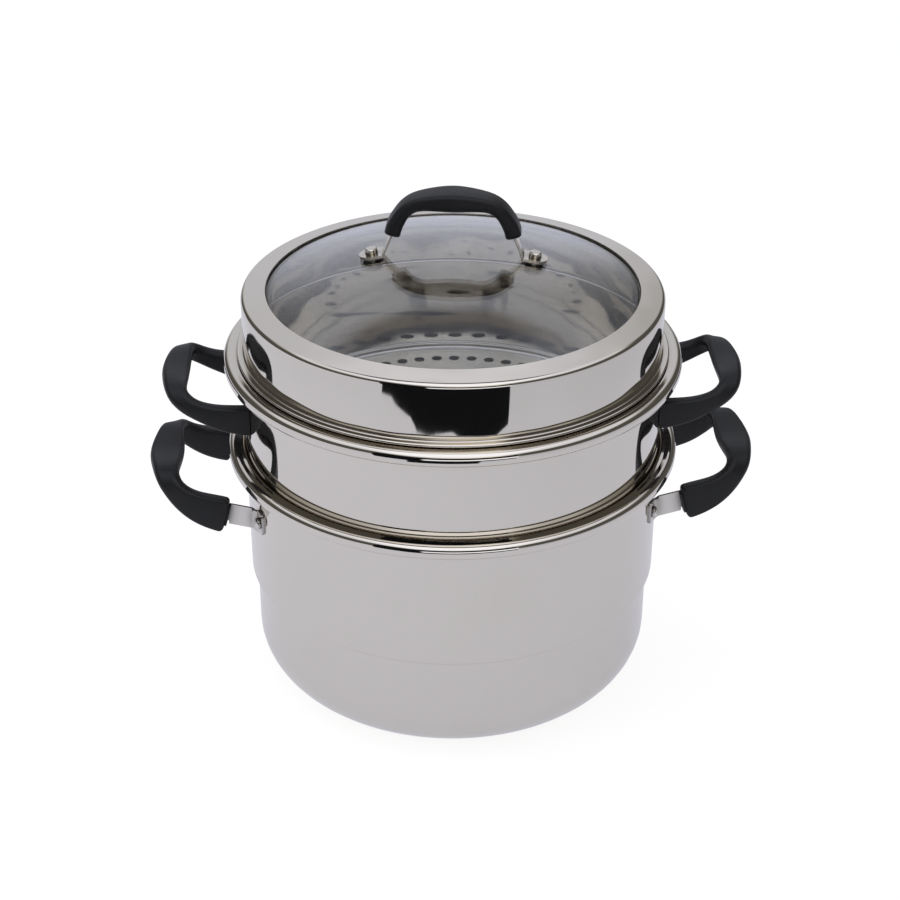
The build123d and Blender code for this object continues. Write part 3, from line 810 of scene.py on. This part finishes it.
def smoothPath(points, count, samples=1200):
    # evenly spaced points and directions along a natural cubic spline
    points = np.array([tuple(p) for p in points], float)
    knots = np.concatenate([[0], np.cumsum(np.linalg.norm(np.diff(points, axis=0), axis=1))])
    gaps, size = np.diff(knots), len(points)
    system, rise = np.eye(size), np.zeros((size, 3))
    for i in range(1, size - 1):
        system[i, i - 1:i + 2] = gaps[i - 1], 2 * (gaps[i - 1] + gaps[i]), gaps[i]
        rise[i] = 6 * ((points[i + 1] - points[i]) / gaps[i] - (points[i] - points[i - 1]) / gaps[i - 1])
    curve = np.linalg.solve(system, rise)
    fine = []
    for t in np.linspace(0, knots[-1], samples):
        i = min(np.searchsorted(knots, t, "right") - 1, size - 2)
        a, b, h = knots[i + 1] - t, t - knots[i], gaps[i]
        near, far = points[i] / h - curve[i] * h / 6, points[i + 1] / h - curve[i + 1] * h / 6
        fine.append((curve[i] * a ** 3 + curve[i + 1] * b ** 3) / (6 * h) + near * a + far * b)
    fine = np.array(fine)
    ways = np.concatenate([[0], np.cumsum(np.linalg.norm(np.diff(fine, axis=0), axis=1))])
    even = np.linspace(0, ways[-1], count + 1)
    spots = np.stack([np.interp(even, ways, fine[:, k]) for k in range(3)], 1)
    return [(Vector(s), Vector(r).normalized()) for s, r in zip(spots, np.gradient(spots, axis=0))]


def roundedSection(thick, wide, rounds, steps=5):
    # points of a rounded rectangle, from the corner at +x, +y anticlockwise; one radius for each corner
    points = []
    for quarter, (sx, sy) in enumerate(((1, 1), (-1, 1), (-1, -1), (1, -1))):
        r = rounds[quarter]
        for k in range(steps + 1):
            turn = math.radians(90 * (quarter + k / steps))
            points.append((sx * (thick / 2 - r) + r * math.cos(turn),
                           sy * (wide / 2 - r) + r * math.sin(turn)))
    return points


def loftMesh(name, stations):
    # skins rings of points; each station is a centre, two axes and its section's points
    verts, faces = [], []
    for centre, across, along, points in stations:
        verts += [(centre + across * x + along * y) * mm for x, y in points]
    size = len(stations[0][3])
    for s in range(len(stations) - 1):
        for k in range(size):
            n = (k + 1) % size
            faces.append((s * size + k, s * size + n, (s + 1) * size + n, (s + 1) * size + k))
    faces.append(tuple(range(size)))
    faces.append(tuple(range(len(verts) - size, len(verts))))
    mesh = bpy.data.meshes.new(name)
    mesh.from_pydata(verts, [], faces)
    return mesh


def between(first, second, share):
    return first + (second - first) * share


def eased(share):
    held = min(1, max(0, share))
    return held * held * (3 - 2 * held)


def sectionSize(fromMiddle, turnShare, middle, turn, end):
    # thickness and width between the middle, the bend and the end of a loop
    if fromMiddle > turnShare:
        near, share = end, eased((fromMiddle - turnShare) / (1 - turnShare))
    else:
        near, share = middle, eased(1 - fromMiddle / turnShare)
    return [between(small, large, share) for small, large in zip(turn, near)]


def loopStations(v, count=72):
    half = [Vector((between(v["root"], v["reach"], out), -aside * v["spacing"] / 2,
                    v["base"] + v["rise"] * up)) for out, aside, up in v["loop"]]
    points = half + [Vector((p.x, -p.y, p.z)) for p in half[-2::-1]]
    stations = []
    for index, (centre, run) in enumerate(smoothPath(points, count)):
        fromBar = abs(2 * index / count - 1)
        turned = eased((fromBar - v["twist"][0]) / (v["twist"][1] - v["twist"][0]))
        lean = math.radians(between(*v["leans"], turned))
        thick, wide = sectionSize(fromBar, v["cornerShare"], v["bar"], v["corner"], v["arm"])
        up = Vector((-math.sin(lean), 0, math.cos(lean)))
        up = (up - run * up.dot(run)).normalized()
        across = up.cross(run)
        onBar = max(0, 1 - fromBar / v["cornerShare"])
        bend = eased(1 - abs(fromBar - v["cornerShare"]) / v["bendReach"])
        rounds = [between(between(arm, bar, onBar), v["bendRound"], bend)
                  for arm, bar in zip(v["armRounds"], v["barRounds"])]
        stations.append((centre, across, up, roundedSection(thick, wide, rounds), run))
    return stations


def capped(stations, rounding=1.0, collar=0.0, collarShare=0.62, steps=3):
    # rounds off both ends of a loft, and adds a smaller collar where one is asked for
    def rounded(end):
        centre, across, along, points, run = end
        rings = []
        if collar:
            small = [(x * collarShare, y * collarShare) for x, y in points]
            rings = [(small, rounding + collar), (small, rounding)]
        for k in range(steps):
            turn = math.radians(90 * k / steps)
            shrink, back = rounding * (1 - math.sin(turn)), rounding * math.cos(turn)
            small = [(x - math.copysign(min(shrink, abs(x)), x), y - math.copysign(min(shrink, abs(y)), y))
                     for x, y in points]
            rings.append((small, back))
        return centre, across, along, run, rings

    centre, across, along, run, rings = rounded(stations[0])
    start = [(centre - run * back, across, along, small) for small, back in rings]
    centre, across, along, run, rings = rounded(stations[-1])
    finish = [(centre + run * back, across, along, small) for small, back in rings]
    return start + [s[:4] for s in stations] + finish[::-1]


def trimmed(mesh, stations, radius):
    # draws the ends of a loft back along its own lines to a cylinder about Z
    size = len(stations[0][3])
    for order in (range(len(stations)), range(len(stations) - 1, -1, -1)):
        for k in range(size):
            track = [mesh.vertices[s * size + k] for s in order]
            inside = []
            for here, after in zip(track, track[1:]):
                near, far = here.co.xy.length / mm, after.co.xy.length / mm
                if near >= radius:
                    break
                inside.append(here)
                if far > radius:
                    spot = here.co.lerp(after.co, (radius - near) / (far - near))
                    for vertex in inside:
                        vertex.co = spot


def makeSideGrips(name, v, body, turn, node):
    for hand, side in (("Right", 0), ("Left", 180)):
        stations = loopStations(v)
        rings = [s[:4] for s in stations] if v["cut"] else capped(stations, v["endRound"], v["collar"])
        mesh = loftMesh(name + hand, rings)
        if v["cut"]:
            trimmed(mesh, rings, v["cut"])
        replaced = f"{node}_{hand.lower()}"
        addPiece(name + hand, mesh, body, plastic, replaced, turn + side, gripSharp)


def makeLidGrip(v, turn):
    half = [Vector((out * v["span"] / 2, 0, v["base"] + v["rise"] * up)) for out, up in v["arch"]]
    points = half + [Vector((-p.x, p.y, p.z)) for p in half[-2::-1]]
    count, stations, along = v["stations"], [], Vector((0, 1, 0))
    for index, (centre, run) in enumerate(smoothPath(points, count)):
        fromTop = abs(2 * index / count - 1)
        thick, wide = sectionSize(fromTop, v["bendShare"], v["middle"], v["bend"], v["end"])
        section = roundedSection(thick, wide, v["rounds"])
        stations.append((centre, along.cross(run), along, section, run))
    arch = loftMesh("lidGrip", capped(stations))
    addPiece("lidGrip", arch, "lid", plastic, "lid_grip", turn, gripSharp)


makeSideGrips("potGrip", potGrip, "pot", 0, "pot_grip")
makeSideGrips("steamerGrip", steamerGrip, "steamer", steamerShape["turn"], "steamer_grip")
makeLidGrip(lidGrip, lidShape["turn"])
print("grips: two on each tier and one on the lid")


# what stays from the frame gets the fittings' finish

fittings = ("pot_strap", "pot_rivet", "steamer_stud", "lid_strap", "lid_upper", "lid_lower", "lid_nut",
            "lid_screw")
for name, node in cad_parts.items():
    if name.startswith(fittings):
        node.data.materials.clear()
        node.data.materials.append(strapSteel if name.startswith("pot_") else fittingSteel)

bpy.context.scene.view_settings.view_transform = "Standard"
bpy.context.scene.cycles.max_bounces = 16
bpy.context.scene.cycles.glossy_bounces = 10             # the tiers' insides mirror each other often
